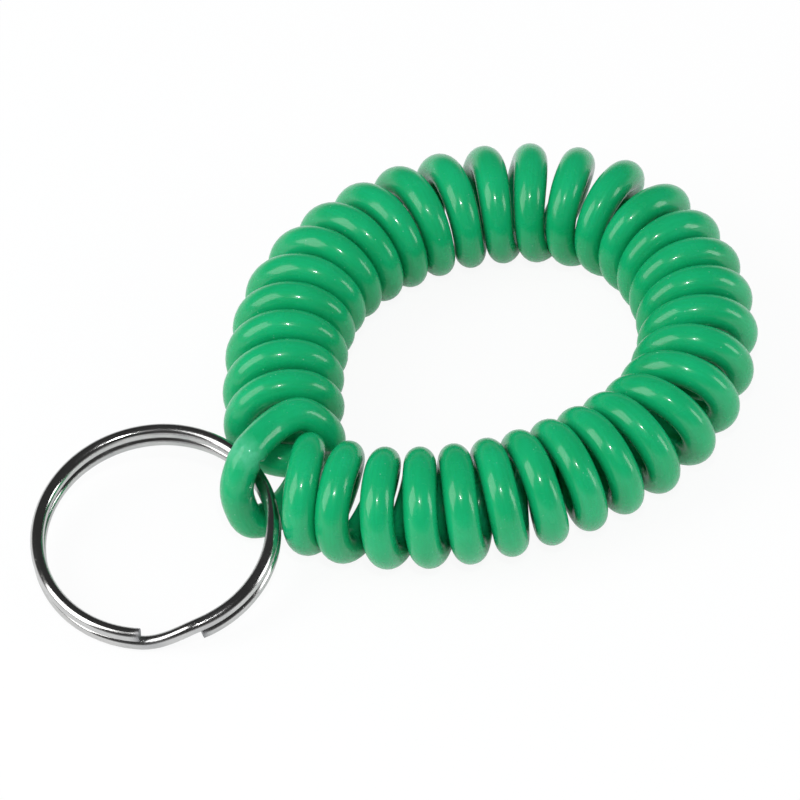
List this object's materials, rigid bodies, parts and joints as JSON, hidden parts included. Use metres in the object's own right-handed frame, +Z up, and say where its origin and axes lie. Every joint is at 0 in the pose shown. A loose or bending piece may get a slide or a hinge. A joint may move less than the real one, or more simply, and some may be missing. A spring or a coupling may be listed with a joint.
{
  "type": "wrist coil key chain",
  "caption": "Springy coiled-cord wrist bracelet with an end loop that holds a split key ring, worn to carry a clicker or keys.",
  "frame": {"origin": "middle of the bracelet's wrist opening, on the surface that the bracelet lies on", "axes": "+Z up, along the wrist; +X away from the split ring's corner towards the right-hand coils; +Y towards the back coils"},
  "size_m": [0.0835, 0.0708, 0.0141],
  "materials": {
    "coil_cord": "glossy, smooth, heat-set soft plastic cord",
    "ring_wire": "bright nickel plate on spring steel wire"
  },
  "bodies": {
    "bracelet": {"left_coils": "coil_cord", "end_loop": "coil_cord", "front_coils": "coil_cord", "back_coils": "coil_cord"},
    "stretched_side": {"right_coils": "coil_cord"},
    "ring": {"split_ring": "ring_wire"},
    "ring_free_end": {"split_ring_free_end": "ring_wire"}
  },
  "joints": [
    {"name": "bracelet_stretch", "type": "slide", "parent": "bracelet", "child": "stretched_side", "axis": [1, 0, 0], "range_m": [0, 0.05], "stiffness_N_per_m": 30, "deforming": ["back_coils", "front_coils"]},
    {"name": "ring_turn", "type": "hinge", "parent": "bracelet", "child": "ring", "pos_m": [-0.03859, -0.02547, 0.00444], "axis": [-0.104, -0.1801, 0.9781], "continuous": true},
    {"name": "ring_open", "type": "hinge", "parent": "ring", "child": "ring_free_end", "pos_m": [-0.05196, -0.02735, 0.00354], "axis": [0.1478, -0.9754, -0.1638], "range_deg": [0, 12], "stiffness_Nm_per_rad": 1}
  ]
}
